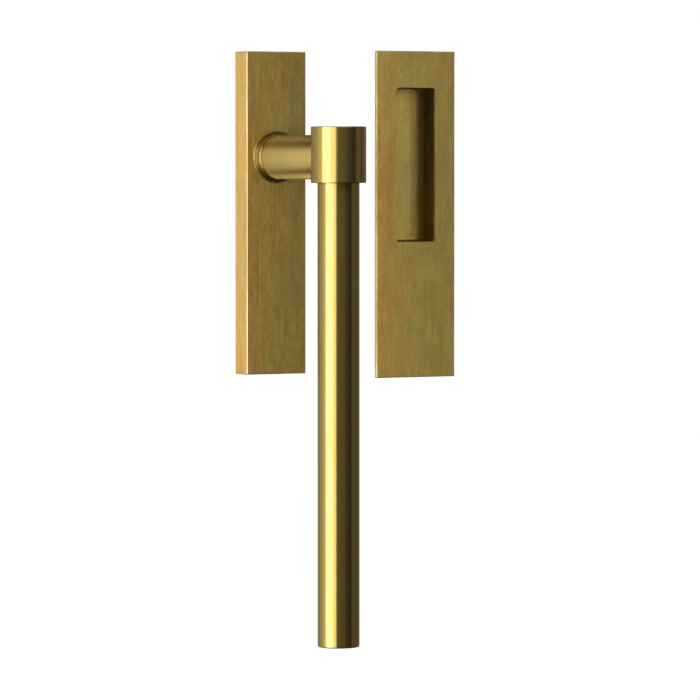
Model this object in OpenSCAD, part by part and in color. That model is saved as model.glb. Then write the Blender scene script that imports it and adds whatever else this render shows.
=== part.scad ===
// Lift-and-slide handle set: an inside lever on a slim cover plate, and the
// outside flush pull that belongs to it, laid side by side on one plane.
// The lever turns half a turn about the Y axis, which runs through the neck.
// +Z is up and -Y faces the user. The Y = 0 plane is the face of the sash.

/* [Inside plate] */
// Width of the inside cover plate
plate_w = 36; // [34:0.5:44]
// Depth of the inside cover plate in front of the sash
plate_d = 13; // [12:0.5:16]
// Height of the plate's top edge above the neck's axis
plate_top = 56.5; // [56:0.5:110]
// Distance from the neck's axis down to the plate's bottom edge
plate_drop = 116; // [110:1:130]

/* [Lever] */
// Diameter of the round grip
grip_dia = 22; // [21:0.5:24]
// Distance from the neck's axis down to the grip's end
grip_drop = 257; // [180:1:340]
// Diameter of the head that joins the neck and the grip
head_dia = 29; // [27:0.5:32]
// Height of the head above the neck's axis
head_top = 16; // [14:0.5:20]
// Distance from the neck's axis down to the underside of the head
head_drop = 13.5; // [13:0.5:16]
// Diameter of the neck
neck_dia = 23.5; // [22:0.5:23.5]
// Distance from the plate's front face to the grip's axis
reach = 66.5; // [62:0.5:80]
// Diameter of the collar where it meets the plate
collar_dia = 28; // [27:0.5:30]

/* [Flush pull] */
// Distance between the axes of the two halves of the set
set_pitch = 93; // [75:1:130]
// Width of the flush plate
flush_w = 49.5; // [46:0.5:60]
// Height of the flush plate's top edge above the neck's axis
flush_top = 58; // [57:0.5:80]
// Distance from the neck's axis down to the flush plate's bottom edge
flush_drop = 120; // [110:0.5:140]
// Width of the finger recess
recess_w = 25.5; // [20:0.5:28]
// Top of the finger recess above the neck's axis
recess_top = 38; // [20:0.5:38]
// Distance from the neck's axis down to the bottom of the finger recess
recess_drop = 46; // [30:0.5:60]
// Depth of the finger recess below the plate's front face
recess_d = 16; // [12:0.5:20]

/* [Fixing] */
// Distance between the two through bolts
bolt_pitch = 140; // [138:1:144]
// Height of the upper through bolt above the neck's axis
bolt_top = 47; // [46.5:0.5:48]
// How far the bolts reach behind the sash's face
bolt_reach = 22; // [15:1:60]
// Size of the square spindle
spindle_size = 10; // [8:1:10]
// How far the spindle reaches behind the sash's face
spindle_reach = 20; // [15:1:60]

/* [Hidden] */
$fn = 96;
eps = 0.01;
fit_gap = 0.05;                 // clearance of a loose fit, per side
touch_gap = 0.02;               // gap between curved faces that are pressed together

cover_wall = 2.2;
cover_front_t = 3;
edge_chamfer = 0.4;
cover_grub_r = 2;
cover_grub_x = 9;
cover_grub_y = -5;
cover_grub_length = 6.9;

base_gap = 0.2;
base_front = -plate_d + cover_front_t + base_gap;
base_w = plate_w - 2 * cover_wall - 2 * base_gap;
base_top = plate_top - cover_wall - base_gap;
base_bottom = -plate_drop + cover_wall + base_gap;

neck_r = neck_dia / 2;
collar_spigot_r = 13.3;         // outside of the collar where it sits in the plate
collar_height = 4.3;
collar_lip = 0.4;
collar_foot = [12.9, 1.6];      // where the flared foot ends, as radius and height
collar_neck = [12.5, 3.8];      // where the slim part ends and the front chamfer begins
collar_nose_r = 12.2;
collar_bore_r = neck_r + 0.15;
glide_r = 12.5;                 // outside of the nylon ring in the collar

hub_r = 8.5;                    // journal that turns in the bush
hub_flat = 7.6;                 // half width across the hub's two flats
shoulder_y = base_front - fit_gap;
hub_end_y = -0.4;

chamber_r = 14;                 // round chamber in the base plate's back
chamber_y = -5;
bush_flange_r = 12.8;
bush_flange_t = 1.2;
bush_r = 10;

stop_r = 12;                    // radius at which the stop pin stands
stop_pin_r = 1.5;
stop_hole_y = -7.8;             // floor of the stop pin's hole
stop_clear = 0.6;               // degrees left free at each end of the turn
stop_half_angle = asin(stop_pin_r / stop_r) + stop_clear;
stop_front_y = -4.3;
stop_back_y = -2.8;
lug_r = 13.4;

clip_front_y = -2;
clip_back_y = -1;
clip_groove_r = 8.1;

grip_y = -plate_d - reach;
grip_r = grip_dia / 2;
head_r = head_dia / 2;
grip_chamfer = 0.6;
tube_bore_r = 8.5;
tenon_r = 8;
tenon_top = 9.8;
tenon_length_in_tube = 25;
plug_length = 12;
spigot_r = 7;
spigot_depth = 4.5;

socket_half = spindle_size / 2 + fit_gap;
socket_end_y = -52;
spindle_front_y = -44;
spindle_grub_r = 2.5;
spindle_grub_y = -21;

m6_r = 3;
m6_core_r = 2.5;
bolt_shoulder_r = 3.25;
bolt_hole_r = 3.35;
bolt_head_r = 6;
bolt_head_h = bolt_head_r - bolt_shoulder_r;
bolt_head_y = base_front + 0.1;
bolt_bottom = bolt_top - bolt_pitch;

flush_t = 2;
gasket_t = 0.5;
flush_front = -flush_t - gasket_t;
recess_h = recess_top + recess_drop;
recess_z = (recess_top - recess_drop) / 2;
recess_corner_r = 2.5;
recess_floor_r = 4;
recess_floor_y = flush_front + recess_d;
cup_wall = 1.2;
cup_lip = 3;
cup_lip_t = 1;
post_r = 4.5;
post_end_y = 27.5;

satin_brass = "#9a8446";
dark_bronze = "#8a6a3a";
cast_alloy = "#a9adb1";
zinc_steel = "#b9bec4";
spring_steel = "#5f6369";
nylon = "#e8e6dc";
rubber = "#26272a";

// ---------------------------------------------------------------- helpers

// Cylinder about the Y axis, from y0 back to y1
module rod_y(r, y0, y1) {
    translate([0, y0, 0]) rotate([-90, 0, 0]) cylinder(r = r, h = y1 - y0);
}

// Cone about the Y axis, from radius r0 at y0 to r1 at y1
module cone_y(r0, r1, y0, y1) {
    translate([0, y0, 0]) rotate([-90, 0, 0]) cylinder(r1 = r0, r2 = r1, h = y1 - y0);
}

// Round bar standing on the grip's axis, from z0 up to z1
module rod_z(r, z0, z1) {
    translate([0, grip_y, z0]) cylinder(r = r, h = z1 - z0);
}

// A 2D outline in (y, z), extruded across the width w
module extrude_x(w) {
    translate([-w / 2, 0, 0]) rotate([90, 0, 90]) linear_extrude(w) children();
}

// A 2D outline in (x, z), extruded from y0 back to y1
module extrude_y(y0, y1) {
    translate([0, y1, 0]) rotate([90, 0, 0]) linear_extrude(y1 - y0) children();
}

// Oblong block whose front edges are chamfered
module chamfered_block(w, z0, z1, y0, y1, c) {
    intersection() {
        translate([0, 0, z0]) linear_extrude(z1 - z0) polygon([
            [-w / 2, y1], [-w / 2, y0 + c], [-w / 2 + c, y0],
            [w / 2 - c, y0], [w / 2, y0 + c], [w / 2, y1]
        ]);
        extrude_x(w + 2) polygon([
            [y1, z0], [y0 + c, z0], [y0, z0 + c],
            [y0, z1 - c], [y0 + c, z1], [y1, z1]
        ]);
    }
}

// Oblong centred on the origin, with round corners
module rounded_oblong(w, h, r) {
    square([w - 2 * r, h], center = true);
    square([w, h - 2 * r], center = true);
    for (sx = [-1, 1], sy = [-1, 1])
        translate([sx * (w / 2 - r), sy * (h / 2 - r)]) circle(r);
}

// U-shaped section in (width, depth): square mouth at y0, round corners at y1
module trough_section(w, y0, y1, r) {
    translate([-w / 2, y0]) square([w, y1 - r - y0]);
    translate([-w / 2 + r, y0]) square([w - 2 * r, y1 - y0]);
    for (s = [-1, 1]) translate([s * (w / 2 - r), y1 - r]) circle(r);
}

// Oblong trough with round corners in plan and a filleted floor
module trough(w, h, y0, y1, corner_r, floor_r) {
    intersection() {
        extrude_y(y0, y1) rounded_oblong(w, h, corner_r);
        translate([0, 0, -h / 2 - 1]) linear_extrude(h + 2)
            trough_section(w, y0, y1, floor_r);
        extrude_x(w + 2) rotate([0, 0, 90]) mirror([0, 1, 0])
            trough_section(h, y0, y1, floor_r);
    }
}

// 2D wedge in (x, z) from angle a0 to a1, clockwise from the top
module wedge(a0, a1, r) {
    mid = (a0 + a1) / 2;
    far = r / cos((a1 - a0) / 4);
    polygon([
        [0, 0], [far * sin(a0), far * cos(a0)],
        [far * sin((a0 + mid) / 2), far * cos((a0 + mid) / 2)],
        [far * sin(mid), far * cos(mid)],
        [far * sin((a1 + mid) / 2), far * cos((a1 + mid) / 2)],
        [far * sin(a1), far * cos(a1)]
    ]);
}

// ------------------------------------------------- inside plate, fixed parts

module inside_cover_plate() {
    color(satin_brass) difference() {
        chamfered_block(plate_w, -plate_drop, plate_top, -plate_d, 0, edge_chamfer);
        translate([-plate_w / 2 + cover_wall, -plate_d + cover_front_t, -plate_drop + cover_wall])
            cube([plate_w - 2 * cover_wall, plate_d, plate_top + plate_drop - 2 * cover_wall]);
        rod_y(collar_spigot_r, -plate_d - 1, 0);
        for (s = [-1, 1]) translate([s * cover_grub_x, cover_grub_y, -plate_drop - 1])
            cylinder(r = cover_grub_r, h = cover_wall + 2, $fn = 48);
    }
}

module countersunk_hole() {
    rod_y(bolt_hole_r, base_front - 1, 1);
    cone_y(bolt_head_r + 0.2, bolt_hole_r, base_front - eps, bolt_head_y + bolt_head_h);
}

module inside_base_plate() {
    pocket_w = 21;
    pocket_depth = 6;
    color(cast_alloy) difference() {
        translate([-base_w / 2, base_front, base_bottom])
            cube([base_w, -base_front, base_top - base_bottom]);
        rod_y(bush_r, base_front - 1, 0);
        rod_y(bush_flange_r + fit_gap, base_front - 1, base_front + bush_flange_t);
        rod_y(chamber_r, chamber_y, 1);
        translate([0, 0, -stop_r]) rod_y(stop_pin_r, stop_hole_y, 0);
        for (z = [bolt_top, bolt_bottom]) translate([0, 0, z]) countersunk_hole();
        // hollows that lighten the casting, open at the back
        for (z = [-33, -66]) translate([0, 0, z])
            extrude_y(-pocket_depth, 1) rounded_oblong(pocket_w, 29, 3);
        translate([0, 0, 27]) extrude_y(-pocket_depth, 1) rounded_oblong(pocket_w, 20, 3);
        for (s = [-1, 1]) translate([s * cover_grub_x, cover_grub_y, base_bottom - 1])
            cylinder(r = cover_grub_r, h = 6.5, $fn = 48);
    }
}

// Fixed ring round the neck: a spigot pressed into the plate, and a conical nose
module neck_collar() {
    color(satin_brass) translate([0, -plate_d, 0]) rotate([90, 0, 0]) rotate_extrude()
        polygon([
            [glide_r, -cover_front_t], [collar_spigot_r - touch_gap, -cover_front_t],
            [collar_spigot_r - touch_gap, 0], [collar_dia / 2, 0],
            [collar_dia / 2, collar_lip], collar_foot, collar_neck, [collar_nose_r, collar_height],
            [collar_bore_r, collar_height], [collar_bore_r, 0], [glide_r, 0]
        ]);
}

// Nylon ring inside the collar, so that the neck doesn't rub on the metal
module glide_ring() {
    color(nylon) difference() {
        rod_y(glide_r - touch_gap, -plate_d + fit_gap, -plate_d + cover_front_t - fit_gap);
        rod_y(neck_r + 0.04, -plate_d - 1, 0);
    }
}

module bearing_bush() {
    color(dark_bronze) difference() {
        union() {
            rod_y(bush_flange_r, base_front, base_front + bush_flange_t);
            rod_y(bush_r - touch_gap, base_front, chamber_y);
        }
        rod_y(hub_r + 0.03, base_front - 1, 0);
    }
}

module thrust_washer() {
    color(nylon) difference() {
        rod_y(10.2, chamber_y, stop_front_y - 0.1);
        rod_y(hub_r + 0.1, chamber_y - 1, 0);
    }
}

module stop_pin() {
    color(zinc_steel) translate([0, 0, -stop_r])
        rod_y(stop_pin_r - touch_gap, stop_hole_y + 0.1, stop_back_y + 0.1);
}

// Countersunk M6 bolts that clamp the inside plate to the sash
module through_bolts() {
    tip = 0.8;
    color(zinc_steel) for (z = [bolt_top, bolt_bottom]) translate([0, 0, z]) difference() {
        union() {
            cone_y(bolt_head_r, bolt_shoulder_r, bolt_head_y, bolt_head_y + bolt_head_h);
            rod_y(bolt_shoulder_r, bolt_head_y + bolt_head_h, 0);
            rod_y(m6_r, 0, bolt_reach - tip);
            cone_y(m6_r, m6_core_r, bolt_reach - tip, bolt_reach);
        }
        translate([0, base_front, 0]) rotate([-90, 0, 0]) cylinder(r = 2.3, h = 2.6, $fn = 6);
    }
}

module cover_grub_screws() {
    color(zinc_steel) for (s = [-1, 1])
        translate([s * cover_grub_x, cover_grub_y, -plate_drop + 0.3]) difference() {
            cylinder(r = cover_grub_r - touch_gap, h = cover_grub_length, $fn = 48);
            translate([0, 0, -1]) cylinder(r = 1.15, h = 3, $fn = 6);
        }
}

// ------------------------------------------------------------------- lever

// Section of the hub where it has two flats, grown by gap
module hub_section(gap) {
    intersection() {
        circle(hub_r + gap);
        square([2 * (hub_flat + gap), 40], center = true);
    }
}

module neck() {
    color(satin_brass) difference() {
        union() {
            difference() {
                rod_y(neck_r, grip_y, shoulder_y);
                rod_z(head_r + touch_gap, -40, 40);
            }
            rod_y(spigot_r, grip_y + head_r - spigot_depth + 0.1, socket_end_y);
            rod_y(hub_r, shoulder_y - 1, stop_front_y - fit_gap);
            extrude_y(stop_front_y - 0.1, hub_end_y) hub_section(0);
        }
        // groove for the retaining ring
        difference() {
            rod_y(hub_r + 1, clip_front_y - fit_gap, clip_back_y + fit_gap);
            rod_y(clip_groove_r, clip_front_y - 1, 0);
        }
        // square socket for the spindle
        translate([-socket_half, socket_end_y, -socket_half])
            cube([2 * socket_half, -socket_end_y, 2 * socket_half]);
        rod_y(m6_r + 0.2, grip_y, 0);
        // threaded hole for the grub screw, in the underside
        translate([0, spindle_grub_y, -neck_r - 1]) cylinder(r = spindle_grub_r, h = neck_r, $fn = 48);
    }
}

module stop_disc() {
    color(zinc_steel) extrude_y(stop_front_y, stop_back_y) difference() {
        union() {
            circle(bush_r);
            intersection() {
                circle(lug_r);
                wedge(180 + stop_half_angle, 360 - stop_half_angle, lug_r + 1);
            }
        }
        hub_section(fit_gap);
    }
}

// Spring washer with three waves, swept as a ring of quads
module wave_washer() {
    inner_r = 8.7;
    outer_r = 10.3;
    t = 0.3;
    rise = 0.16;
    waves = 3;
    steps = 72;
    mid_y = (stop_back_y + clip_front_y) / 2;
    points = [for (i = [0:steps - 1]) let (a = i * 360 / steps, y = mid_y + rise * sin(waves * a))
        for (c = [[inner_r, -t / 2], [outer_r, -t / 2], [outer_r, t / 2], [inner_r, t / 2]])
            [c[0] * cos(a), y + c[1], c[0] * sin(a)]];
    faces = [for (i = [0:steps - 1]) let (j = (i + 1) % steps) for (k = [0:3]) let (l = (k + 1) % 4)
        for (tri = [[i * 4 + k, i * 4 + l, j * 4 + l], [i * 4 + k, j * 4 + l, j * 4 + k]]) tri];
    color(spring_steel) polyhedron(points, faces);
}

// External retaining ring with two eyes for the pliers
module retaining_ring() {
    eye_angle = 14;
    eye_r = 10.6;
    color(spring_steel) extrude_y(clip_front_y, clip_back_y) difference() {
        union() {
            difference() {
                circle(10.3);
                wedge(-eye_angle / 2, eye_angle / 2, 14);
            }
            for (s = [-1, 1]) rotate([0, 0, s * eye_angle]) translate([0, eye_r]) circle(1.7, $fn = 48);
        }
        circle(clip_groove_r + touch_gap);
        for (s = [-1, 1]) rotate([0, 0, s * eye_angle]) translate([0, eye_r + 0.2]) circle(0.7, $fn = 24);
    }
}

// M6 cap screw that draws the tenon and the head onto the neck
module neck_screw() {
    head_len = 6;
    color(zinc_steel) difference() {
        union() {
            rod_y(4.95, socket_end_y, socket_end_y + head_len);
            rod_y(m6_r - 0.03, grip_y - 4.5, socket_end_y);
        }
        translate([0, socket_end_y + head_len - 3, 0]) rotate([-90, 0, 0])
            cylinder(r = 2.9, h = 4, $fn = 6);
    }
}

module spindle_grub_screw() {
    tip_z = -spindle_size / 2 - 0.15;
    length = 5.4;
    color(zinc_steel) translate([0, spindle_grub_y, tip_z - length]) difference() {
        cylinder(r = spindle_grub_r - touch_gap, h = length, $fn = 48);
        translate([0, 0, -1]) cylinder(r = 1.45, h = 3.4, $fn = 6);
    }
}

module head() {
    color(satin_brass) difference() {
        union() {
            rod_z(head_r, -head_drop + grip_chamfer, head_top - grip_chamfer);
            translate([0, grip_y, -head_drop])
                cylinder(r1 = head_r - grip_chamfer, r2 = head_r, h = grip_chamfer);
            translate([0, grip_y, head_top - grip_chamfer])
                cylinder(r1 = head_r, r2 = head_r - grip_chamfer, h = grip_chamfer);
        }
        rod_z(tenon_r + fit_gap, -head_drop - 1, tenon_top + 0.2);
        rod_y(spigot_r + fit_gap, grip_y + head_r - spigot_depth, grip_y + head_r + 1);
        rod_y(m6_r + 0.2, grip_y, grip_y + head_r);
    }
}

// Joins the head and the grip: the neck screw threads into it
module grip_tenon() {
    color(zinc_steel) difference() {
        union() {
            rod_z(tenon_r, -head_drop, tenon_top);
            rod_z(tube_bore_r - touch_gap, -head_drop - tenon_length_in_tube, -head_drop);
        }
        rod_y(m6_r, grip_y - 5, grip_y + tenon_r + 1);
    }
}

module grip_tube() {
    color(satin_brass) difference() {
        union() {
            rod_z(grip_r, -grip_drop + grip_chamfer, -head_drop);
            translate([0, grip_y, -grip_drop])
                cylinder(r1 = grip_r - grip_chamfer, r2 = grip_r, h = grip_chamfer);
        }
        rod_z(tube_bore_r, -grip_drop - 1, -head_drop + 1);
    }
}

module grip_end_plug() {
    color(satin_brass) rod_z(tube_bore_r - touch_gap, -grip_drop, -grip_drop + plug_length);
}

// Square bar that turns the lift gear in the sash
module spindle() {
    s = spindle_size / 2;
    c = 0.8;
    color(zinc_steel) intersection() {
        translate([0, 0, -s]) linear_extrude(2 * s) polygon([
            [-s + c, spindle_front_y], [s - c, spindle_front_y], [s, spindle_front_y + c],
            [s, spindle_reach - c], [s - c, spindle_reach], [-s + c, spindle_reach],
            [-s, spindle_reach - c], [-s, spindle_front_y + c]
        ]);
        extrude_x(2 * s) polygon([
            [spindle_front_y, -s + c], [spindle_front_y + c, -s], [spindle_reach - c, -s],
            [spindle_reach, -s + c], [spindle_reach, s - c], [spindle_reach - c, s],
            [spindle_front_y + c, s], [spindle_front_y, s - c]
        ]);
    }
}

// -------------------------------------------------------------- flush pull

module at_flush_pull() {
    translate([set_pitch, 0, 0]) children();
}

module flush_plate() {
    color(satin_brass) at_flush_pull() difference() {
        chamfered_block(flush_w, -flush_drop, flush_top, flush_front, -gasket_t, edge_chamfer);
        translate([0, 0, recess_z]) extrude_y(flush_front - 1, 1)
            rounded_oblong(recess_w, recess_h, recess_corner_r);
    }
}

// Trough brazed to the back of the flush plate by its lip
module flush_cup() {
    color(satin_brass) at_flush_pull() translate([0, 0, recess_z]) difference() {
        union() {
            trough(recess_w + 2 * cup_wall, recess_h + 2 * cup_wall, -gasket_t,
                   recess_floor_y + cup_wall, recess_corner_r + cup_wall, recess_floor_r + cup_wall);
            extrude_y(-gasket_t, -gasket_t + cup_lip_t) rounded_oblong(
                recess_w + 2 * cup_wall + 2 * cup_lip, recess_h + 2 * cup_wall + 2 * cup_lip, 4);
        }
        trough(recess_w, recess_h, -gasket_t - 5, recess_floor_y, recess_corner_r, recess_floor_r);
    }
}

module flush_gasket() {
    inset = 1;
    window = cup_wall + cup_lip + 0.5;
    color(rubber) at_flush_pull() extrude_y(-gasket_t, 0) difference() {
        translate([0, (flush_top - flush_drop) / 2])
            square([flush_w - 2 * inset, flush_top + flush_drop - 2 * inset], center = true);
        translate([0, recess_z])
            square([recess_w + 2 * window, recess_h + 2 * window], center = true);
        for (z = [bolt_top, bolt_bottom]) translate([0, z]) circle(post_r + 0.3);
    }
}

// Posts with an M6 thread that take the through bolts
module threaded_posts() {
    color(zinc_steel) at_flush_pull() for (z = [bolt_top, bolt_bottom]) translate([0, 0, z])
        difference() {
            union() {
                rod_y(post_r, -gasket_t, post_end_y - 0.6);
                cone_y(post_r, post_r - 0.6, post_end_y - 0.6, post_end_y);
            }
            rod_y(m6_core_r, 2.5, post_end_y + 1);
        }
}

inside_cover_plate();
inside_base_plate();
neck_collar();
glide_ring();
bearing_bush();
thrust_washer();
stop_pin();
through_bolts();
cover_grub_screws();
stop_disc();
wave_washer();
retaining_ring();
neck();
neck_screw();
spindle_grub_screw();
head();
grip_tenon();
grip_tube();
grip_end_plug();
spindle();
flush_plate();
flush_cup();
flush_gasket();
threaded_posts();
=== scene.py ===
import math

import bmesh
import bpy
from mathutils import Matrix, Vector

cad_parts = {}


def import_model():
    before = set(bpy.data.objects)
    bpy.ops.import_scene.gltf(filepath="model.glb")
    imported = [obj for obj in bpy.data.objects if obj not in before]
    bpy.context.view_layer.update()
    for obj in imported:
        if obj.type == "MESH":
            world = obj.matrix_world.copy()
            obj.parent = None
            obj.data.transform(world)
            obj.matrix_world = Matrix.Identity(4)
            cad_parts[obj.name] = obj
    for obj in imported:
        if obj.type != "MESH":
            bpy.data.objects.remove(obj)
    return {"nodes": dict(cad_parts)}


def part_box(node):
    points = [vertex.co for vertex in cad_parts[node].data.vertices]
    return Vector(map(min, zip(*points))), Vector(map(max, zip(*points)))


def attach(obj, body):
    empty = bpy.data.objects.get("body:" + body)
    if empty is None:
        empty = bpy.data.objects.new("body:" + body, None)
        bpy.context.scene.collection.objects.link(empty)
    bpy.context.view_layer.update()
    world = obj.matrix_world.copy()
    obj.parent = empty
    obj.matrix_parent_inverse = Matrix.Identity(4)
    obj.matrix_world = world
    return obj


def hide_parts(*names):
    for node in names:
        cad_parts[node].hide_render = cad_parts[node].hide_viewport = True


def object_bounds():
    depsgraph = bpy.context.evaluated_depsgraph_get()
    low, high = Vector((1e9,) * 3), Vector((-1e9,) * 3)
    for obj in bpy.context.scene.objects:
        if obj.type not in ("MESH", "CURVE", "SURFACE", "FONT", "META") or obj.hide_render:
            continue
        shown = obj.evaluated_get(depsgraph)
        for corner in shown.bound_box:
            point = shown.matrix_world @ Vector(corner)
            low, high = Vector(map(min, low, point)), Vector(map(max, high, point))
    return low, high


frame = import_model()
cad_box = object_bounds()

# Sizes are in millimetres here, and each mesh is scaled to metres as it is made.
MM = 0.001

# Where the camera stands, seen from the object, with azimuth 0 looking along +Y, and its long lens.
# The distance and the target are in metres, and the lens in millimetres.
VIEW_AZIMUTH = math.radians(-30)
VIEW_ELEVATION = math.radians(2.1)
VIEW_DISTANCE = 2.7156
VIEW_TARGET = Vector((0.0529, 0.0001, -0.1045))
LENS = 257.1

FLOOR_DROP = 1.5             # how far the floor lies under the grip's end, in metres

EDGE_STEPS = 5               # segments of a rounded edge
ROUND_STEPS = 192            # segments of a full turn
CORNER_STEPS = 12            # segments of a corner seen from the front
SHARP_ANGLE = math.radians(32)

# The finger recess: its opening, the depth of its floor, and the fillets between walls and floor
RECESS_W = 25.5
RECESS_LOW = -46
RECESS_HIGH = 38
RECESS_CORNER = 2.5
RECESS_FLOOR = 13.5
SIDE_FILLET = 5
TOP_FILLET = 0.5
BOTTOM_FILLET = 1.5
FILLET_STEPS = 18            # segments of the fillet, from wall to floor
# the recess walls' material is darker brass, painted shade
WALL_RINGS = 6               # how many of the trough's bands, from its mouth, take the wall's material

# Reflectances of the brass on each part. The collar's and the recess walls' are darkened as painted
# shade.
BRASS_BAR = (0.56, 0.385, 0.105)
BRASS_NECK = (0.49, 0.375, 0.12)
# darker than the other brass: painted shade
BRASS_COLLAR = (0.36, 0.25, 0.075)
BRASS_COVER = (0.57, 0.405, 0.11)
BRASS_FLUSH = (0.555, 0.41, 0.115)
BRASS_SIDE = (0.61, 0.40, 0.145)
BRASS_EDGE = (0.72, 0.60, 0.30)
# darker and duller than the recess floor's brass: painted shade
BRASS_RECESS_WALL_SHADE = (0.31, 0.265, 0.14)

# The two tints that mottle all of it, and how its patches are drawn out along Z
BRASS_OLIVE = (0.51, 0.40, 0.125)
BRASS_WARM = (0.61, 0.355, 0.09)
STREAKY = (1, 1, 0.3)

# Which of a piece's materials a face takes. A plate has a face, sides and rounded edges, the recess
# has a floor and walls, which count as its sides, and the collar has a rim.
FACE, SIDE, EDGE = range(3)
RIM = 1


# ------------------------------------------------------------ mesh helpers

def node_box(node):
    """A CAD node's lowest and highest corner, in millimetres."""
    low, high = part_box(node)
    return low / MM, high / MM


def make_object(name, mesh_data, materials, body, replaced):
    """A finished piece from a bmesh in millimetres, on its body. Only its sharp edges stay sharp."""
    bmesh.ops.recalc_face_normals(mesh_data, faces=mesh_data.faces)
    bmesh.ops.scale(mesh_data, vec=(MM, MM, MM), verts=mesh_data.verts)
    mesh = bpy.data.meshes.new(name)
    mesh_data.to_mesh(mesh)
    mesh_data.free()
    piece = bpy.data.objects.new(name, mesh)
    bpy.context.scene.collection.objects.link(piece)
    for material in materials:
        mesh.materials.append(material)
    mesh.shade_smooth()
    mesh.set_sharp_from_angle(angle=SHARP_ANGLE)
    weighted = piece.modifiers.new("weighted normals", "WEIGHTED_NORMAL")
    weighted.keep_sharp = True
    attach(piece, body)
    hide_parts(*replaced)
    return piece


def arc(centre, radius, start, end, steps):
    """Points on an arc, angles in degrees."""
    angles = [math.radians(start + (end - start) * i / steps) for i in range(steps + 1)]
    return [(centre[0] + radius * math.cos(a), centre[1] + radius * math.sin(a)) for a in angles]


def curve(start, pull, end, steps):
    """Points on a quadratic curve from start to end."""
    points = []
    for i in range(steps + 1):
        t = i / steps
        weights = ((1 - t) ** 2, 2 * t * (1 - t), t ** 2)
        points.append(tuple(weights[0] * a + weights[1] * b + weights[2] * c
                            for a, b, c in zip(start, pull, end)))
    return points


def round_corners(points, radii):
    """A closed outline with each corner of a radius above 0 replaced by an arc."""
    outline = []
    for i, point in enumerate(points):
        here = Vector(point)
        if radii[i] <= 0:
            outline.append((here.x, here.y))
            continue
        to_before = (Vector(points[i - 1]) - here).normalized()
        to_after = (Vector(points[(i + 1) % len(points)]) - here).normalized()
        half = to_before.angle(to_after) / 2
        reach = radii[i] / math.tan(half)
        centre = here + (to_before + to_after).normalized() * radii[i] / math.sin(half)
        start = here + to_before * reach - centre
        turn = start.angle_signed(here + to_after * reach - centre)
        for k in range(EDGE_STEPS + 1):
            spoke = start.copy()
            spoke.rotate(Matrix.Rotation(-turn * k / EDGE_STEPS, 2))
            outline.append((centre.x + spoke.x, centre.y + spoke.y))
    return outline


def oblong(width, low, high, radius):
    """A rounded oblong in (x, z), centred on x = 0, counter-clockwise."""
    half = width / 2
    corners = [(half, high), (-half, high), (-half, low), (half, low)]
    outline = []
    for i, (x, z) in enumerate(corners):
        centre = (x - math.copysign(radius, x), z - radius if z == high else z + radius)
        outline += arc(centre, radius, 90 * i, 90 * (i + 1), CORNER_STEPS)
    return outline


def frame_of(axis):
    """The axis, which is Y or Z, and two directions square to it."""
    along = {"Y": Vector((0, 1, 0)), "Z": Vector((0, 0, 1))}[axis]
    across = Vector((0, 0, 1)) if axis == "Y" else Vector((1, 0, 0))
    return along, across, along.cross(across)


def lathe(profile, axis, centre=(0, 0, 0), steps=ROUND_STEPS):
    """A solid of revolution. The profile is a closed outline of (radius, distance along the axis)."""
    made = bmesh.new()
    add_lathe(made, profile, axis, centre, steps)
    return made


def add_lathe(made, profile, axis, centre, steps):
    """Adds such a solid to a mesh that is being made."""
    along, across, third = frame_of(axis)
    rings = []
    for radius, height in profile:
        middle = Vector(centre) + along * height
        if radius < 1e-6:
            rings.append([made.verts.new(middle)])
            continue
        angles = [2 * math.pi * k / steps for k in range(steps)]
        rings.append([made.verts.new(middle + (across * math.cos(a) + third * math.sin(a)) * radius)
                      for a in angles])
    for i, ring in enumerate(rings):
        join_rings(made, ring, rings[(i + 1) % len(rings)])


def join_rings(made, ring, other, material_index=FACE):
    """Quads between two closed rings of the same count, or a fan to a single point."""
    if len(ring) == 1 and len(other) == 1:
        return
    steps = max(len(ring), len(other))
    for k in range(steps):
        n = (k + 1) % steps
        if len(ring) == 1:
            corners = (ring[0], other[n], other[k])
        elif len(other) == 1:
            corners = (ring[k], ring[n], other[0])
        else:
            corners = (ring[k], ring[n], other[n], other[k])
        made.faces.new(corners).material_index = material_index


def add_thread(made, centre, start, end, crest, root, pitch):
    """A helical ridge about Y, from start to end, that fades out over a turn at both ends."""
    along, across, third = frame_of("Y")
    steps, rings_per_turn = 48, 8
    steepness = 2.3
    count = int((end - start) / pitch * rings_per_turn)
    rings = []
    for i in range(count + 1):
        y = start + (end - start) * i / count
        fade = min(1, (y - start) / pitch, (end - y) / pitch)
        ring = []
        for k in range(steps):
            phase = (y / pitch - k / steps) % 1
            ridge = max(0, 1 - abs(phase - 0.5) * steepness) * fade
            radius = root + (crest - root) * ridge
            a = 2 * math.pi * k / steps
            ring.append(made.verts.new(
                Vector(centre) + along * y + (across * math.cos(a) + third * math.sin(a)) * radius))
        rings.append(ring)
    for ring, other in zip(rings, rings[1:]):
        join_rings(made, ring, other)


def add_ring(made, outline, y, x=0):
    """A ring of vertices from an outline in (x, z), at one depth."""
    return [made.verts.new((px + x, y, pz)) for px, pz in outline]


def fill_between(made, *rings):
    """Fills the flat area that one ring bounds, or that lies between an outer and an inner ring."""
    edges = []
    for ring in rings:
        for k, vert in enumerate(ring):
            pair = (vert, ring[(k + 1) % len(ring)])
            edges.append(made.edges.get(pair) or made.edges.new(pair))
    bmesh.ops.triangle_fill(made, use_beauty=True, use_dissolve=False, edges=edges)


def rounded_slab_front(made, width, bottom, top, front, back, edge, x=0):
    """The sides and the rounded front edge of a slab. Returns its back ring and its front ring."""
    least_corner = 0.02
    back_ring = add_ring(made, oblong(width, bottom, top, edge), back, x)
    previous = back_ring
    for inset, y in arc((edge, front + edge), edge, 180, 270, EDGE_STEPS):
        outline = oblong(width - 2 * inset, bottom + inset, top - inset,
                         max(edge - inset, least_corner))
        ring = add_ring(made, outline, y, x)
        join_rings(made, previous, ring, SIDE if previous is back_ring else EDGE)
        previous = ring
    return back_ring, previous


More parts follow.
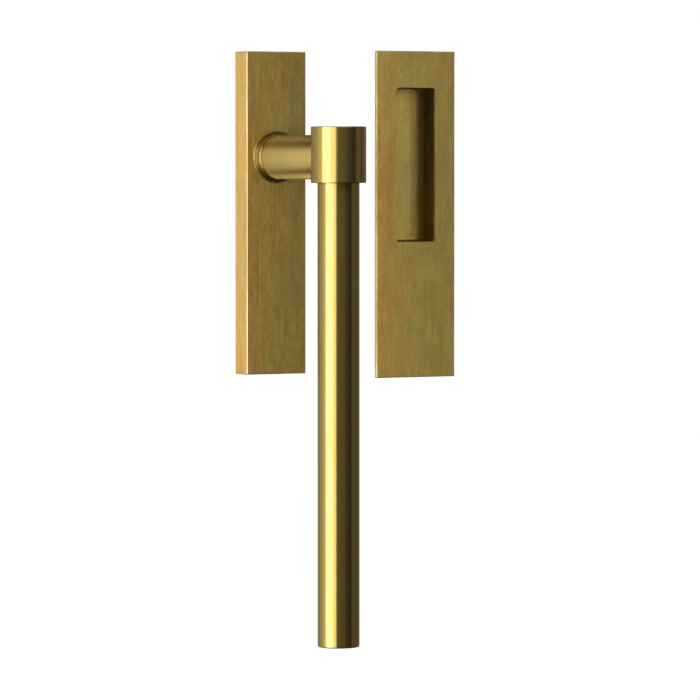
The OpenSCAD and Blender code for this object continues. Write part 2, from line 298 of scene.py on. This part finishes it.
def drill(piece, centre, axis, radius, length):
    """Cuts a round hole, centred on a point, through a finished piece."""
    hole = [(0, -length / 2), (radius, -length / 2), (radius, length / 2), (0, length / 2)]
    cutter_mesh = lathe(hole, axis, centre, 64)
    bmesh.ops.recalc_face_normals(cutter_mesh, faces=cutter_mesh.faces)
    bmesh.ops.scale(cutter_mesh, vec=(MM, MM, MM), verts=cutter_mesh.verts)
    mesh = bpy.data.meshes.new("cutter")
    cutter_mesh.to_mesh(mesh)
    cutter_mesh.free()
    cutter = bpy.data.objects.new("cutter", mesh)
    bpy.context.scene.collection.objects.link(cutter)
    weighted = piece.modifiers["weighted normals"]
    weighted.show_viewport = False
    cut = piece.modifiers.new("drill", "BOOLEAN")
    cut.object = cutter
    cut.solver = "EXACT"
    graph = bpy.context.evaluated_depsgraph_get()
    piece.data = bpy.data.meshes.new_from_object(piece.evaluated_get(graph))
    piece.modifiers.remove(cut)
    weighted.show_viewport = True
    piece.data.set_sharp_from_angle(angle=SHARP_ANGLE)
    bpy.data.objects.remove(cutter)


# --------------------------------------------------------- material helpers

class Nodes:
    """Builds one material's node tree, with places taken from the object's own axes in metres."""

    def __init__(self, name):
        self.material = bpy.data.materials.new(name)
        self.material.use_nodes = True
        self.tree = self.material.node_tree
        self.shader = self.tree.nodes["Principled BSDF"]
        self.place = self.add("ShaderNodeTexCoord").outputs["Object"]

    def add(self, kind, **settings):
        """A new node of a kind, with its settings."""
        node = self.tree.nodes.new(kind)
        for key, value in settings.items():
            setattr(node, key, value)
        return node

    def link(self, source, target):
        """Links an output to an input."""
        self.tree.links.new(source, target)

    def give(self, value, socket):
        """Links a socket, or sets a number or an (r, g, b)."""
        if isinstance(value, bpy.types.NodeSocket):
            self.link(value, socket)
        elif isinstance(value, (int, float)):
            socket.default_value = value
        else:
            socket.default_value = (*value, 1)

    def noise(self, scale, stretch=(1, 1, 1), detail=3, roughness=0.5, offset=(0, 0, 0)):
        """Noise with scale features per metre, made finer or longer along an axis by stretch."""
        mapping = self.add("ShaderNodeMapping")
        mapping.inputs["Scale"].default_value = stretch
        mapping.inputs["Location"].default_value = offset
        self.link(self.place, mapping.inputs["Vector"])
        noise = self.add("ShaderNodeTexNoise")
        noise.inputs["Scale"].default_value = scale
        noise.inputs["Detail"].default_value = detail
        noise.inputs["Roughness"].default_value = roughness
        self.link(mapping.outputs["Vector"], noise.inputs["Vector"])
        return noise.outputs["Fac"]

    def remap(self, value, low, high, to_low=0.0, to_high=1.0):
        """Takes the range from low to high onto another range, and clamps what lies outside it."""
        node = self.add("ShaderNodeMapRange")
        node.inputs["From Min"].default_value = low
        node.inputs["From Max"].default_value = high
        node.inputs["To Min"].default_value = to_low
        node.inputs["To Max"].default_value = to_high
        self.link(value, node.inputs["Value"])
        return node.outputs["Result"]

    def mix(self, amount, first, second, blend="MIX"):
        """Mixes two colours, each a socket, a number or an (r, g, b)."""
        node = self.add("ShaderNodeMix", data_type="RGBA", blend_type=blend)
        self.give(amount, node.inputs[0])
        self.give(first, node.inputs[6])
        self.give(second, node.inputs[7])
        return node.outputs[2]

    def math(self, operation, first, second):
        """The sum, product or the like of two values, each a socket or a number."""
        node = self.add("ShaderNodeMath", operation=operation)
        self.give(first, node.inputs[0])
        self.give(second, node.inputs[1])
        return node.outputs[0]

    def bump(self, height, strength, distance):
        """Roughens the shader's normal by a height."""
        node = self.add("ShaderNodeBump")
        node.inputs["Strength"].default_value = strength
        node.inputs["Distance"].default_value = distance
        self.link(height, node.inputs["Height"])
        self.link(node.outputs["Normal"], self.shader.inputs["Normal"])

    def along(self, axis, start, end):
        """0 to 1 from one place to another along X, Y or Z, in metres."""
        split = self.add("ShaderNodeSeparateXYZ")
        self.link(self.place, split.inputs[0])
        return self.remap(split.outputs[axis], start, end)


def mottled(nodes, fresh, patches, warm):
    """Brass of one colour, with olive patches and warm blotches, both drawn out along Z."""
    blotches = nodes.noise(110, STREAKY, detail=4, roughness=0.6, offset=(3.1, 0.7, 1.9))
    colour = nodes.mix(nodes.remap(patches, 0.4, 0.65), fresh, BRASS_OLIVE)
    return nodes.mix(nodes.remap(blotches, 0.5, 0.7, 0, warm), colour, BRASS_WARM)


def painted_shade_across(nodes, colour, patches, left, right):
    """Paints shade across a plate: brighter at one end of a range of x, darker at the other, and warmer
    towards the lower left.
    """
    top, bottom = 0.045, 0.01
    warm_share = 0.45
    side = nodes.along("X", left, right)
    warmth = nodes.math("MULTIPLY", nodes.remap(side, 0, warm_share, 1, 0),
                        nodes.remap(patches, 0.3, 0.6))
    warmth = nodes.math("MULTIPLY", warmth, nodes.along("Z", top, bottom))
    colour = nodes.mix(warmth, colour, BRASS_WARM)
    # painted shade: brighter towards the left end of the range of x, darker towards the right
    return nodes.mix(1.0, colour, nodes.remap(side, 0, 1, 1.1, 0.86), "MULTIPLY")


def painted_shade_below(nodes, colour, bottom, top):
    """Paints shade: nearly black at the bottom of a range of z, rising to the full colour at its top.
    """
    return nodes.mix(1.0, colour, nodes.remap(nodes.along("Z", bottom, top), 0, 1, 0.12, 1), "MULTIPLY")


def scratches(nodes, turned_about):
    """Short and long fine lines, along Z on a plate and round the axis of a turned piece."""
    short_stretch = {None: (1, 1, 0.22), "Z": (0.2, 0.2, 1), "Y": (0.2, 1, 0.2)}[turned_about]
    long_stretch = {None: (1, 1, 0.02), "Z": (0.02, 0.02, 1), "Y": (0.02, 1, 0.02)}[turned_about]
    short = nodes.noise(1500, short_stretch, detail=2)
    long = nodes.noise(1100, long_stretch, detail=4, roughness=0.7, offset=(0.4, 5.2, 0.8))
    return nodes.math("ADD", nodes.math("MULTIPLY", short, 0.5), nodes.math("MULTIPLY", long, 0.5))


def set_roughness(nodes, lines, turned_about, across, along, spread):
    """Roughness that differs along and across the scratches, and varies a little with them."""
    shader = nodes.shader
    rough = math.sqrt(math.sqrt(across * along))
    nodes.link(nodes.remap(lines, 0.35, 0.65, rough * (1 - spread), rough * (1 + spread)),
               shader.inputs["Roughness"])
    shader.inputs["Anisotropic"].default_value = (1 - along / across) / 0.9
    shader.inputs["Anisotropic Rotation"].default_value = 0.25 if turned_about else 0.0
    tangent = nodes.add("ShaderNodeTangent", direction_type="RADIAL", axis=turned_about or "Z")
    nodes.link(tangent.outputs["Tangent"], shader.inputs["Tangent"])


def brass(name, fresh, turned_about=None, across=0.5, along=0.32, contrast=1.0, warm=0.5,
          painted_shade_x=None, painted_shade_z=None):
    """Satin brass with fine scratches.

    A plate is brushed along Z. turned_about is the axis of a turned piece, whose scratches run
    round it. across and along are the roughness across and along the scratches, as a microfacet
    alpha, and contrast is how plainly they show. warm is the strength of the warm blotches.
    The last two arguments are ranges of painted shade, in metres: over the first, in x, a plate goes
    from a brighter, warmer left to a darker right; over the second, in z, a piece goes from nearly
    black at the bottom to its full colour.
    """
    nodes = Nodes(name)
    patches = nodes.noise(70, STREAKY, detail=5, roughness=0.6)
    clouds = nodes.noise(220, STREAKY, detail=3, offset=(1.3, 4.2, 2.7))
    lines = scratches(nodes, turned_about)
    colour = mottled(nodes, fresh, patches, warm)
    # painted shade across a plate: brighter and warmer at its left, darker at its right
    if painted_shade_x:
        colour = painted_shade_across(nodes, colour, patches, *painted_shade_x)
    # painted shade: nearly black at the bottom of the range of z
    if painted_shade_z:
        colour = painted_shade_below(nodes, colour, *painted_shade_z)
    line_depth, cloud_depth = 0.18 * contrast, 0.07 * contrast
    shade = nodes.math("MULTIPLY", nodes.remap(lines, 0.35, 0.65, 1 - line_depth, 1 + line_depth),
                       nodes.remap(clouds, 0.35, 0.65, 1 - cloud_depth, 1 + cloud_depth))
    nodes.link(nodes.mix(1.0, colour, shade, "MULTIPLY"), nodes.shader.inputs["Base Color"])
    nodes.shader.inputs["Metallic"].default_value = 1.0
    set_roughness(nodes, lines, turned_about, across, along, 0.06 * contrast)
    if not turned_about:
        nodes.bump(lines, 0.15 * contrast, 0.00005)
    return nodes.material


def metal(name, colour, roughness, grain=1500, depth=0.2):
    """A plain metal with a fine grain and duller patches."""
    nodes = Nodes(name)
    fine = nodes.noise(grain, detail=4, roughness=0.6)
    patches = nodes.noise(90, detail=3)
    shade = nodes.math("MULTIPLY", nodes.remap(fine, 0.3, 0.7, 0.88, 1.08),
                       nodes.remap(patches, 0.35, 0.65, 0.85, 1.05))
    nodes.link(nodes.mix(1.0, colour, shade, "MULTIPLY"), nodes.shader.inputs["Base Color"])
    nodes.link(nodes.remap(patches, 0.3, 0.7, roughness - 0.07, roughness + 0.07),
               nodes.shader.inputs["Roughness"])
    nodes.shader.inputs["Metallic"].default_value = 1.0
    nodes.bump(fine, depth, 0.00005)
    return nodes.material


def moulded(name, colour, roughness):
    """A plain moulded plastic or rubber."""
    nodes = Nodes(name)
    fine = nodes.noise(2500, detail=3)
    shade = nodes.remap(fine, 0.3, 0.7, 0.92, 1.05)
    nodes.link(nodes.mix(1.0, colour, shade, "MULTIPLY"), nodes.shader.inputs["Base Color"])
    nodes.link(nodes.remap(fine, 0.3, 0.7, roughness - 0.05, roughness + 0.05),
               nodes.shader.inputs["Roughness"])
    nodes.bump(fine, 0.3, 0.00004)
    return nodes.material


# --------------------------------------------------------------- the pieces

def cover_plate(materials):
    """The inside box plate, open at the back, with a round hole for the collar."""
    low, high = node_box("inside_cover_plate")
    side_t, face_t = 2.2, 3
    edge, pocket_corner = 0.6, 0.3
    hole_r = 13.3
    width, front, back = high.x - low.x, low.y, high.y
    inner_front = front + face_t
    made = bmesh.new()
    back_ring, front_ring = rounded_slab_front(made, width, low.z, high.z, front, back, edge)
    hole = arc((0, 0), hole_r, 0, 360, ROUND_STEPS)[:-1]
    hole_front = add_ring(made, hole, front)
    hole_back = add_ring(made, hole, inner_front)
    fill_between(made, front_ring, hole_front)
    join_rings(made, hole_front, hole_back)
    pocket = oblong(width - 2 * side_t, low.z + side_t, high.z - side_t, pocket_corner)
    pocket_floor = add_ring(made, pocket, inner_front)
    pocket_mouth = add_ring(made, pocket, back)
    fill_between(made, hole_back, pocket_floor)
    join_rings(made, pocket_floor, pocket_mouth)
    join_rings(made, pocket_mouth, back_ring)
    piece = make_object("cover_plate", made, materials, "plates", ["inside_cover_plate"])
    screws_low, screws_high = node_box("cover_grub_screws")
    play = 0.02
    screw_r = (screws_high.y - screws_low.y) / 2 + play
    screw_y = (screws_low.y + screws_high.y) / 2
    for x in (screws_low.x + screw_r, screws_high.x - screw_r):
        drill(piece, (x, screw_y, low.z), "Z", screw_r, 3 * side_t)
    return piece


def collar(materials):
    """The flared ring round the neck: a beaded rim, a hollow curve, a slim body and a rounded nose."""
    low, high = node_box("neck_collar")
    seat = node_box("inside_cover_plate")[0].y
    outer_r = (high.x - low.x) / 2
    glide_r, spigot_r, bore_r = 12.5, 13.28, 11.9
    bead_r = 0.35
    profile = [(glide_r, high.y), (spigot_r, high.y), (spigot_r, seat)]
    profile += arc((outer_r - bead_r, seat), bead_r, 0, -90, 8)
    profile += curve((13.05, seat - bead_r), (12.87, seat - bead_r), (12.85, seat - 0.6), 5)
    profile += curve((12.56, seat - 2.9), (12.52, seat - 3.1), (12.44, seat - 3.3), 4)
    profile += curve((12.12, low.y + 0.12), (12.09, low.y), (11.98, low.y), 4)
    profile += [(bore_r, low.y), (bore_r, seat), (glide_r, seat)]
    made = lathe(profile, "Y")
    for face in made.faces:
        middle = face.calc_center_median()
        if middle.y < seat and math.hypot(middle.x, middle.z) > outer_r - 2 * bead_r:
            face.material_index = RIM
    return make_object("collar", made, materials, "plates", ["neck_collar"])


def head(material):
    """The upright barrel that joins the neck and the grip."""
    low, high = node_box("head")
    radius = (high.x - low.x) / 2
    centre = (0, (low.y + high.y) / 2, 0)
    bore_r, bore_top = 8.05, 10.0
    edge, bore_edge = 0.45, 0.2
    profile = round_corners(
        [(0, high.z), (0, bore_top), (bore_r, bore_top),
         (bore_r, low.z), (radius, low.z), (radius, high.z)],
        [0, 0, bore_edge, bore_edge, edge, edge])
    return make_object("head_barrel", lathe(profile, "Z", centre), [material], "lever",
                       ["head"])


def grip_tube(material):
    """The round bar of the grip, with a softened lower rim."""
    low, high = node_box("grip_tube")
    radius = (high.x - low.x) / 2
    bore_r = 8.5
    lower_edge, fine_edge = 0.8, 0.12
    centre = (0, (low.y + high.y) / 2, 0)
    profile = round_corners(
        [(bore_r, low.z), (radius, low.z), (radius, high.z), (bore_r, high.z)],
        [fine_edge, lower_edge, fine_edge, fine_edge])
    return make_object("grip_bar", lathe(profile, "Z", centre), [material], "lever",
                       ["grip_tube"])


def end_plug(material):
    """The disc that closes the grip's lower end."""
    low, high = node_box("grip_end_plug")
    radius = (high.x - low.x) / 2
    lower_edge, upper_edge = 0.12, 0.3
    centre = (0, (low.y + high.y) / 2, 0)
    profile = round_corners(
        [(0, high.z), (0, low.z), (radius, low.z), (radius, high.z)], [0, 0, lower_edge, upper_edge])
    return make_object("end_plug", lathe(profile, "Z", centre), [material], "lever",
                       ["grip_end_plug"])


def flush_plate(materials):
    """The outside plate with its window."""
    low, high = node_box("flush_plate")
    edge, mouth_edge = 0.5, 0.2
    x = (low.x + high.x) / 2
    front = low.y
    made = bmesh.new()
    back_ring, front_ring = rounded_slab_front(
        made, high.x - low.x, low.z, high.z, front, high.y, edge, x)
    window = None
    for outset, y in arc((mouth_edge, front + mouth_edge), mouth_edge, 270, 180, EDGE_STEPS):
        outline = oblong(RECESS_W + 2 * outset, RECESS_LOW - outset, RECESS_HIGH + outset,
                         RECESS_CORNER + outset)
        ring = add_ring(made, outline, y, x)
        if window is None:
            fill_between(made, front_ring, ring)
        else:
            join_rings(made, window, ring)
        window = ring
    window_back = add_ring(made, oblong(RECESS_W, RECESS_LOW, RECESS_HIGH, RECESS_CORNER), high.y, x)
    join_rings(made, window, window_back)
    join_rings(made, window_back, back_ring)
    return make_object("flush_face", made, materials, "plates", ["flush_plate"])


def fillet_inset(y, floor_y, radius):
    """How far a fillet stands in from the wall at a depth."""
    rise = max(0, y - (floor_y - radius))
    return radius - math.sqrt(max(0, radius * radius - rise * rise))


def trough_rings(made, x, mouth_y, floor_y, grow, wall_material=FACE):
    """Rings down a filleted trough, from its mouth to its floor, grown outwards by a wall."""
    side, top, bottom = SIDE_FILLET + grow, TOP_FILLET + grow, BOTTOM_FILLET + grow
    depths = [mouth_y] + [y for _, y in arc((side, floor_y - side), side, 180, 90, FILLET_STEPS)]
    rings = []
    for y in depths:
        outline = oblong(RECESS_W + 2 * grow - 2 * fillet_inset(y, floor_y, side),
                         RECESS_LOW - grow + fillet_inset(y, floor_y, bottom),
                         RECESS_HIGH + grow - fillet_inset(y, floor_y, top), RECESS_CORNER + grow)
        rings.append(add_ring(made, outline, y, x))
    for i, (ring, other) in enumerate(zip(rings, rings[1:])):
        join_rings(made, ring, other, wall_material if i < WALL_RINGS else FACE)
    return rings


def flush_cup(materials):
    """The recess: a filleted trough with a lip behind the plate."""
    low, high = node_box("flush_cup")
    wall_t, lip, lip_t = 1.2, 3, 1
    lip_corner = 4
    reach = wall_t + lip
    x = (low.x + high.x) / 2
    made = bmesh.new()
    # the walls near the mouth take the darker brass, painted shade
    inner = trough_rings(made, x, low.y, RECESS_FLOOR, 0, SIDE)
    fill_between(made, inner[-1])
    lip_outline = oblong(RECESS_W + 2 * reach, RECESS_LOW - reach, RECESS_HIGH + reach, lip_corner)
    lip_front = add_ring(made, lip_outline, low.y, x)
    lip_back = add_ring(made, lip_outline, low.y + lip_t, x)
    join_rings(made, inner[0], lip_front)
    join_rings(made, lip_front, lip_back)
    outer = trough_rings(made, x, low.y + lip_t, high.y, wall_t)
    join_rings(made, lip_back, outer[0])
    fill_between(made, outer[-1])
    return make_object("recess_cup", made, materials, "plates", ["flush_cup"])


def through_bolts(material):
    """The two long screws, with their countersunk heads and their threads."""
    low, high = node_box("through_bolts")
    head_r = (high.x - low.x) / 2
    shank_r, collar_r, core_r, socket_r = 3, 3.25, 2.55, 2.3
    rim, point, pitch = 0.3, 0.5, 1.0
    collar_y = low.y + head_r - collar_r
    made = bmesh.new()
    for z in (low.z + head_r, high.z - head_r):
        profile = [(0, low.y + 2.6), (socket_r, low.y + 2.2), (socket_r, low.y), (head_r - rim, low.y),
                   (head_r, low.y + rim), (collar_r, collar_y + rim), (collar_r, -1), (shank_r, -0.75),
                   (shank_r, 0.6), (core_r, 1.0), (core_r, high.y - point),
                   (core_r - point, high.y), (0, high.y)]
        add_lathe(made, profile, "Y", (0, 0, z), 48)
        add_thread(made, (0, 0, z), 0.8, high.y - 0.4, shank_r, core_r, pitch)
    return make_object("through_screws", made, [material], "plates", ["through_bolts"])


def threaded_posts(material):
    """The two posts behind the flush plate, each with a threaded bore."""
    low, high = node_box("threaded_posts")
    x = (low.x + high.x) / 2
    radius = (high.x - low.x) / 2
    crest_r, bore_r, bore_start = 2.5, 2.95, 2.5
    rim, pitch = 0.6, 1.0
    made = bmesh.new()
    for z in (low.z + radius, high.z - radius):
        profile = [(0, bore_start), (bore_r, bore_start + 1), (bore_r, high.y - 0.5),
                   (bore_r + 0.4, high.y), (radius - rim, high.y), (radius, high.y - rim),
                   (radius, low.y), (0, low.y)]
        add_lathe(made, profile, "Y", (x, 0, z), 64)
        add_thread(made, (x, 0, z), bore_start + 2, high.y - 0.4, crest_r, bore_r + 0.02, pitch)
    return make_object("thread_posts", made, [material], "plates", ["threaded_posts"])


def soften(node, name, material, body, radius):
    """A copy of a CAD node with its sharp edges rounded, which replaces the node."""
    touching = 0.002
    flat, bent = math.radians(0.5), math.radians(35)
    made = bmesh.new()
    made.from_mesh(frame["nodes"][node].data)
    bmesh.ops.scale(made, vec=(1 / MM, 1 / MM, 1 / MM), verts=made.verts)
    bmesh.ops.remove_doubles(made, verts=made.verts, dist=touching)
    bmesh.ops.dissolve_limit(made, angle_limit=flat, verts=made.verts, edges=made.edges)
    sharp = [edge for edge in made.edges if len(edge.link_faces) == 2 and edge.calc_face_angle() > bent]
    bmesh.ops.bevel(made, geom=sharp, offset=radius, segments=3, profile=0.5, affect="EDGES",
                    clamp_overlap=True)
    return make_object(name, made, [material], body, [node])


def plain_smooth(piece):
    """Gives up the weighted normals, which make a highlight along a faceted bar wavy."""
    piece.modifiers.remove(piece.modifiers["weighted normals"])


def dress(material, *nodes):
    """Gives CAD nodes that keep their shape a material."""
    for node in nodes:
        slots = frame["nodes"][node].data.materials
        slots.clear()
        slots.append(material)


# ------------------------------------------------------------------ the set

def towards(azimuth, elevation):
    """The direction from the object at that azimuth and elevation, in radians."""
    return Vector((math.sin(azimuth) * math.cos(elevation),
                   -math.cos(azimuth) * math.cos(elevation),
                   math.sin(elevation)))


def place_facing(thing, direction, distance):
    """Puts a camera or a light at a distance in that direction, looking back at the object."""
    thing.location = VIEW_TARGET + direction * distance
    thing.rotation_euler = (-direction).to_track_quat("-Z", "Y").to_euler()
    bpy.context.scene.collection.objects.link(thing)


def camera():
    """The scene's camera, where the constants at the top say."""
    data = bpy.data.cameras.new("camera")
    data.sensor_width = 36
    data.lens = LENS
    data.clip_end = 60
    made = bpy.data.objects.new("camera", data)
    place_facing(made, towards(VIEW_AZIMUTH, VIEW_ELEVATION), VIEW_DISTANCE)
    bpy.context.scene.camera = made


def panel(name, azimuth, elevation, distance, width, height, radiance):
    """A soft rectangular light of that radiance, aimed at the object. Angles are in degrees."""
    data = bpy.data.lights.new(name, "AREA")
    data.shape = "RECTANGLE"
    data.size, data.size_y = width, height
    data.energy = radiance * width * height * math.pi
    made = bpy.data.objects.new(name, data)
    place_facing(made, towards(math.radians(azimuth), math.radians(elevation)), distance)
    made.visible_camera = False
    return made


def wall(name, start, end, radiance, low=-1.6, high=1.65):
    """A standing soft panel that fills a range of azimuths."""
    distance = 2.5
    width = 2 * distance * math.tan(math.radians(end - start) / 2)
    made = panel(name, (start + end) / 2, 0, distance, width, high - low, radiance)
    made.location.z += (high + low) / 2
    return made


def flag(light, pieces, keep_off=False):
    """Flags a light, so that it reaches only these pieces, or all but these."""
    lit = bpy.data.collections.new(light.name + " receivers")
    for piece in pieces:
        lit.objects.link(piece)
    light.light_linking.receiver_collection = lit
    if keep_off:
        for entry in lit.collection_objects:
            entry.light_linking.link_state = "EXCLUDE"


def light_through(piece, lights):
    """Lets lights reach one piece, and no other, through whatever stands between."""
    for light in lights:
        light.data.use_shadow = False
        light.data.cycles.use_multiple_importance_sampling = False
        flag(light, [piece])


def studio(cover, face, recess, ring, neck, head_piece, bar):
    """A ring of soft walls, panels above, and lights flagged so that they reach only some pieces."""
    key_radiance = 4.1
    key_rim = wall("key rim", -101, -98.5, key_radiance)
    key = wall("key", -98.5, -66, key_radiance)
    key_edge = wall("key edge", -66, -43.3, 2.25)
    wall("left wall", -122, -101, 0.96)
    wall("back left", -150, -122, 0.56)
    wall("back", -200, -150, 0.35)
    wall("front", -44, 5, 0.075)
    wall("front right", 5, 46, 0.01)
    wall("right strip", 46, 79, 0.13)
    wall("back right", 85, 160, 0.13)
    overhead = panel("overhead", 0, 50, 5, 5.2, 2.8, 1.5)
    zenith = panel("zenith", 0, 89, 5, 3.5, 3.5, 0.8)
    flag(key_rim, [recess, head_piece, neck], keep_off=True)
    flag(key, [recess, neck], keep_off=True)
    flag(key_edge, [recess], keep_off=True)
    flag(overhead, [recess, ring], keep_off=True)
    flag(zenith, [recess, ring, neck], keep_off=True)
    flag(wall("plate side", 88, 125, 0.6), [cover, face])
    flag(wall("head edge", -43.3, -40.3, 2.2), [head_piece])
    flag(wall("bar strip", 46, 79, 0.19), [bar])
    flag(wall("neck key", -101, -66, 2.8, low=-2.4, high=1.8), [neck])
    flag(panel("cover fill", 28, -9, 2.5, 1.1, 1.4, 0.82), [cover])
    flag(panel("flush fill", 28, 0, 2.5, 1.1, 1.4, 1.93), [face])
    flag(panel("recess fill", 16.5, 12, 2.5, 1.1, 1.3, 3.2), [recess])
    flag(panel("recess rim", -78, 0, 2.5, 0.6, 2.0, 1.5), [recess])
    light_through(neck, [
        panel("over neck", -166, 66, 2.5, 0.35, 0.8, 2.8),
        panel("under neck", 180, -69, 1.2, 0.6, 0.6, 4.2),
        panel("neck fill", -120, 0, 2.5, 2.5, 5.0, 0.22),
        panel("neck bounce", -166, -22, 2.5, 1.0, 0.6, 0.8)])


def world(backdrop, ambient):
    """White behind the object, and a dim studio for everything but the camera."""
    made = bpy.data.worlds.new("studio")
    bpy.context.scene.world = made
    made.use_nodes = True
    tree = made.node_tree
    tree.nodes.clear()
    out = tree.nodes.new("ShaderNodeOutputWorld")
    mix = tree.nodes.new("ShaderNodeMixShader")
    path = tree.nodes.new("ShaderNodeLightPath")
    dim = tree.nodes.new("ShaderNodeBackground")
    bright = tree.nodes.new("ShaderNodeBackground")
    dim.inputs["Color"].default_value = (ambient, ambient, ambient, 1)
    bright.inputs["Color"].default_value = (backdrop, backdrop, backdrop, 1)
    tree.links.new(path.outputs["Is Camera Ray"], mix.inputs[0])
    tree.links.new(dim.outputs[0], mix.inputs[1])
    tree.links.new(bright.outputs[0], mix.inputs[2])
    tree.links.new(mix.outputs[0], out.inputs[0])


def floor():
    """A floor well under the grip: white to the camera, dark to other rays, and clear from below."""
    reach = 12
    z = cad_box[0].z - FLOOR_DROP
    mesh = bpy.data.meshes.new("floor")
    corners = [(-reach, -reach, z), (reach, -reach, z), (reach, reach, z), (-reach, reach, z)]
    mesh.from_pydata(corners, [], [(0, 1, 2, 3)])
    made = bpy.data.objects.new("floor", mesh)
    bpy.context.scene.collection.objects.link(made)
    material = bpy.data.materials.new("pale floor")
    material.use_nodes = True
    tree = material.node_tree
    shader = tree.nodes["Principled BSDF"]
    shader.inputs["Base Color"].default_value = (0.07, 0.069, 0.067, 1)
    shader.inputs["Roughness"].default_value = 0.9
    glow = tree.nodes.new("ShaderNodeEmission")
    clear = tree.nodes.new("ShaderNodeBsdfTransparent")
    path = tree.nodes.new("ShaderNodeLightPath")
    side = tree.nodes.new("ShaderNodeNewGeometry")
    top = tree.nodes.new("ShaderNodeMixShader")
    both = tree.nodes.new("ShaderNodeMixShader")
    tree.links.new(path.outputs["Is Camera Ray"], top.inputs[0])
    tree.links.new(shader.outputs[0], top.inputs[1])
    tree.links.new(glow.outputs[0], top.inputs[2])
    tree.links.new(side.outputs["Backfacing"], both.inputs[0])
    tree.links.new(top.outputs[0], both.inputs[1])
    tree.links.new(clear.outputs[0], both.inputs[2])
    tree.links.new(both.outputs[0], tree.nodes["Material Output"].inputs["Surface"])
    mesh.materials.append(material)


# ------------------------------------------------------------ the materials

# both plates carry painted shade across them, brighter at the left and darker at the right
cover_brass = brass("cover brass", BRASS_COVER, painted_shade_x=(-0.018, 0.018))
flush_brass = brass("flush brass", BRASS_FLUSH, painted_shade_x=(0.068, 0.118))
side_brass = brass("side brass", BRASS_SIDE, contrast=0.6, warm=1.0)
edge_brass = brass("edge brass", BRASS_EDGE, across=0.15, along=0.12, contrast=0.2, warm=0.3)
recess_brass = brass("recess brass", BRASS_FLUSH, across=0.34, along=0.24, warm=0.4)
# darker brass for the recess walls: painted shade
recess_wall_shade = brass("recess wall painted shade", BRASS_RECESS_WALL_SHADE, across=0.5, along=0.4, warm=0.2)
bar_brass = brass("bar brass", BRASS_BAR, "Z", across=0.16, along=0.04, contrast=0.15)
neck_brass = brass("neck brass", BRASS_NECK, "Y", across=0.3, along=0.12, contrast=0.25)
# the collar's lower part is painted with shade, down to nearly black
collar_brass = brass("collar brass", BRASS_COLLAR, "Y", across=0.12, along=0.1, contrast=0.25,
                     painted_shade_z=(-0.0125, -0.003))
bronze = metal("bearing bronze", (0.42, 0.24, 0.10), 0.4)
alloy = metal("cast alloy", (0.45, 0.46, 0.48), 0.55, grain=900, depth=0.6)
zinc = metal("zinc plate", (0.62, 0.64, 0.68), 0.35)
spring = metal("spring steel", (0.16, 0.165, 0.18), 0.4)
nylon = moulded("nylon", (0.78, 0.76, 0.68), 0.5)
rubber = moulded("rubber", (0.02, 0.02, 0.022), 0.7)

# ---------------------------------------------------------------- the scene

bpy.context.scene.view_settings.view_transform = "Standard"
camera()
world(1.0, 0.03)
floor()
cover = cover_plate([cover_brass, side_brass, edge_brass])
ring = collar([collar_brass, edge_brass])
head_piece = head(bar_brass)
bar = grip_tube(bar_brass)
end_plug(bar_brass)
face = flush_plate([flush_brass, side_brass, edge_brass])
recess = flush_cup([recess_brass, recess_wall_shade])
neck = soften("neck", "neck_bar", neck_brass, "lever", 0.15)
plain_smooth(neck)
through_bolts(zinc)
threaded_posts(zinc)
soften("inside_base_plate", "cast_base", alloy, "plates", 0.4)
soften("spindle", "square_bar", zinc, "square_spindle", 0.5)
dress(zinc, "stop_pin", "cover_grub_screws", "stop_disc", "neck_screw", "spindle_grub_screw",
      "grip_tenon")
dress(spring, "wave_washer", "retaining_ring")
dress(nylon, "glide_ring", "thrust_washer")
dress(bronze, "bearing_bush")
dress(rubber, "flush_gasket")
studio(cover, face, recess, ring, neck, head_piece, bar)
